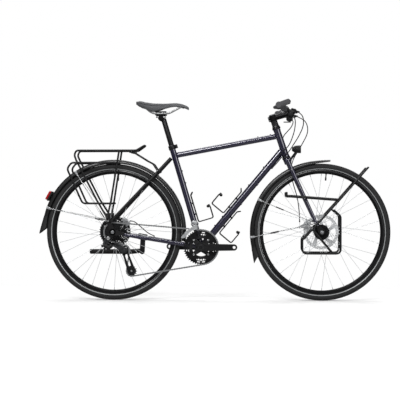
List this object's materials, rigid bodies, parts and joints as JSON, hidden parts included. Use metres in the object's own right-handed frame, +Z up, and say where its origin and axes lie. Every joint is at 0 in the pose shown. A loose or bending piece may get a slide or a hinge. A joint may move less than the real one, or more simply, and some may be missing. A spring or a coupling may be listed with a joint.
{
  "type": "touring bicycle",
  "caption": "Touring bicycle with mudguards, rear pannier rack, low-rider front racks, derailleur gears, disc brakes, lights, kickstand and wire bottle cages.",
  "frame": {"origin": "on the ground, midway along and across the whole bicycle", "axes": "+X forward, +Y to the rider's left, +Z up; the chain is on the -Y side"},
  "size_m": [1.809, 0.6478, 1.0295],
  "materials": {
    "frame_paint": "dark violet-black metallic gloss paint",
    "black_metal": "black anodised satin",
    "black_plastic": "satin black",
    "silver_metal": "silver satin",
    "steel": "bright",
    "tyre_rubber": "matt dark grey",
    "grip_rubber": "matt",
    "saddle_cover": "dark grey, stitched",
    "red_lens": "moulded red lens"
  },
  "bodies": {
    "frame": {"head_tube": "frame_paint", "seat_tube": "frame_paint", "top_tube": "frame_paint", "down_tube": "frame_paint", "chain_stays": "frame_paint", "seat_stays": "black_metal", "rear_mudguard": "black_plastic", "rear_axle": "steel", "chain": "steel", "rear_derailleur": "black_metal", "front_derailleur": "silver_metal", "rear_rack": "black_metal", "rear_light": "red_lens", "rear_brake_caliper": "silver_metal", "kickstand_bracket": "black_metal", "bottle_cage_seat_tube": "black_metal", "bottle_cage_down_tube": "black_metal", "bottle_cage_lower": "black_metal", "rear_brake_run": "black_plastic"},
    "fork": {"fork": "frame_paint", "stem": "black_metal", "handlebar": "black_metal", "grip_left": "grip_rubber", "grip_right": "grip_rubber", "control_left": "black_plastic", "control_right": "black_plastic", "front_mudguard": "black_plastic", "front_axle": "steel", "front_rack_left": "black_metal", "front_rack_right": "black_metal", "front_brake_caliper": "silver_metal", "front_brake_cable": "black_plastic", "rear_brake_cable": "black_plastic", "left_shift_cable": "black_plastic", "right_shift_cable": "black_plastic"},
    "front_wheel": {"front_tyre": "tyre_rubber", "front_rim": "black_metal", "front_hub": "steel"},
    "rear_wheel": {"rear_tyre": "tyre_rubber", "rear_rim": "black_metal", "rear_hub": "steel"},
    "crankset": {"crank_right": "black_metal", "crank_left": "black_metal", "chainrings": "black_metal"},
    "cassette": {"cassette": "steel"},
    "derailleur_links": {"derailleur_links": "black_metal"},
    "derailleur_cage": {"derailleur_cage": "black_metal"},
    "guide_pulley": {"guide_pulley": "black_plastic"},
    "tension_pulley": {"tension_pulley": "black_plastic"},
    "front_derailleur_cage": {"front_derailleur_cage": "silver_metal"},
    "brake_lever_left": {"brake_lever_left": "black_metal"},
    "brake_lever_right": {"brake_lever_right": "black_metal"},
    "shift_lever_left": {"shift_lever_left": "black_plastic"},
    "shift_lever_right": {"shift_lever_right": "black_plastic"},
    "front_brake_arm": {"front_brake_arm": "silver_metal"},
    "rear_brake_arm": {"rear_brake_arm": "silver_metal"},
    "kickstand": {"kickstand_leg": "black_metal"},
    "seatpost": {"seatpost": "black_metal", "saddle": "saddle_cover"},
    "headlight": {"headlight": "black_plastic"}
  },
  "joints": [
    {"name": "steering", "type": "hinge", "parent": "frame", "child": "fork", "pos_m": [0.37196, 0, 0.73675], "axis": [-0.319, 0, 0.9478], "range_deg": [-60, 60], "deforming": ["rear_brake_cable", "left_shift_cable", "right_shift_cable"]},
    {"name": "front_wheel_spin", "type": "hinge", "parent": "fork", "child": "front_wheel", "pos_m": [0.55348, 0, 0.351], "axis": [0, 1, 0], "continuous": true},
    {"name": "rear_wheel_spin", "type": "hinge", "parent": "frame", "child": "rear_wheel", "pos_m": [-0.51452, 0, 0.351], "axis": [0, 1, 0], "continuous": true},
    {"name": "crank_spin", "type": "hinge", "parent": "frame", "child": "crankset", "pos_m": [-0.06252, 0, 0.274], "axis": [0, 1, 0], "continuous": true, "deforming": ["chain"]},
    {"name": "cassette_spin", "type": "hinge", "parent": "frame", "child": "cassette", "pos_m": [-0.51452, 0, 0.351], "axis": [0, 1, 0], "continuous": true},
    {"name": "derailleur_shift", "type": "slide", "parent": "frame", "child": "derailleur_links", "axis": [0, 1, 0], "range_m": [-0.0237, 0.01185], "deforming": ["chain"]},
    {"name": "derailleur_cage_swing", "type": "hinge", "parent": "derailleur_links", "child": "derailleur_cage", "pos_m": [-0.45752, -0.0388, 0.258], "axis": [0, -1, 0], "range_deg": [0, 45], "stiffness_Nm_per_rad": 0.5, "springref_deg": -22.92, "deforming": ["chain"]},
    {"name": "guide_pulley_spin", "type": "hinge", "parent": "derailleur_cage", "child": "guide_pulley", "pos_m": [-0.45752, -0.0388, 0.258], "axis": [0, 1, 0], "continuous": true},
    {"name": "tension_pulley_spin", "type": "hinge", "parent": "derailleur_cage", "child": "tension_pulley", "pos_m": [-0.42042, -0.0388, 0.15084], "axis": [0, 1, 0], "continuous": true},
    {"name": "front_derailleur_shift", "type": "slide", "parent": "frame", "child": "front_derailleur_cage", "axis": [0, 1, 0], "range_m": [0, 0.008], "deforming": ["chain"]},
    {"name": "brake_lever_left_squeeze", "type": "hinge", "parent": "fork", "child": "brake_lever_left", "pos_m": [0.41382, 0.17774, 0.95852], "axis": [0, -0.0783, 0.9969], "range_deg": [0, 15], "stiffness_Nm_per_rad": 2, "springref_deg": -11.46},
    {"name": "brake_lever_right_squeeze", "type": "hinge", "parent": "fork", "child": "brake_lever_right", "pos_m": [0.41382, -0.17774, 0.95852], "axis": [0, -0.0783, -0.9969], "range_deg": [0, 15], "stiffness_Nm_per_rad": 2, "springref_deg": -11.46},
    {"name": "front_brake_arm_pull", "type": "hinge", "parent": "fork", "child": "front_brake_arm", "pos_m": [0.47888, 0.0538, 0.38738], "axis": [0, 1, 0], "range_deg": [0, 20], "deforming": ["front_brake_cable"]},
    {"name": "rear_brake_arm_pull", "type": "hinge", "parent": "frame", "child": "rear_brake_arm", "pos_m": [-0.46027, 0.0613, 0.39985], "axis": [0, 1, 0], "range_deg": [0, 20], "deforming": ["rear_brake_run"]},
    {"name": "shift_lever_left_press", "type": "hinge", "parent": "fork", "child": "shift_lever_left", "pos_m": [0.39342, 0.16349, 0.92595], "axis": [0, 0.0783, -0.9969], "range_deg": [0, 30], "stiffness_Nm_per_rad": 0.2, "springref_deg": -17.19},
    {"name": "shift_lever_right_press", "type": "hinge", "parent": "fork", "child": "shift_lever_right", "pos_m": [0.39342, -0.16349, 0.92595], "axis": [0, 0.0783, 0.9969], "range_deg": [0, 30], "stiffness_Nm_per_rad": 0.2, "springref_deg": -17.19},
    {"name": "kickstand_fold", "type": "hinge", "parent": "frame", "child": "kickstand", "pos_m": [-0.37652, 0.071, 0.246], "axis": [0, 0.9659, 0.2588], "range_deg": [-100, 0]},
    {"name": "seatpost_slide", "type": "slide", "parent": "frame", "child": "seatpost", "axis": [-0.2847, 0, 0.9586], "range_m": [-0.1, 0.05]},
    {"name": "headlight_tilt", "type": "hinge", "parent": "fork", "child": "headlight", "pos_m": [0.41648, 0, 0.752], "axis": [0, 1, 0], "range_deg": [-15, 15]}
  ],
  "couplings": [
    {"joint": "cassette_spin", "follows": "crank_spin", "ratio": 1.8333},
    {"joint": "guide_pulley_spin", "follows": "crank_spin", "ratio": -3.3846},
    {"joint": "tension_pulley_spin", "follows": "crank_spin", "ratio": 3.3846},
    {"joint": "front_brake_arm_pull", "follows": "brake_lever_left_squeeze", "ratio": 1.3333},
    {"joint": "rear_brake_arm_pull", "follows": "brake_lever_right_squeeze", "ratio": 1.3333}
  ]
}
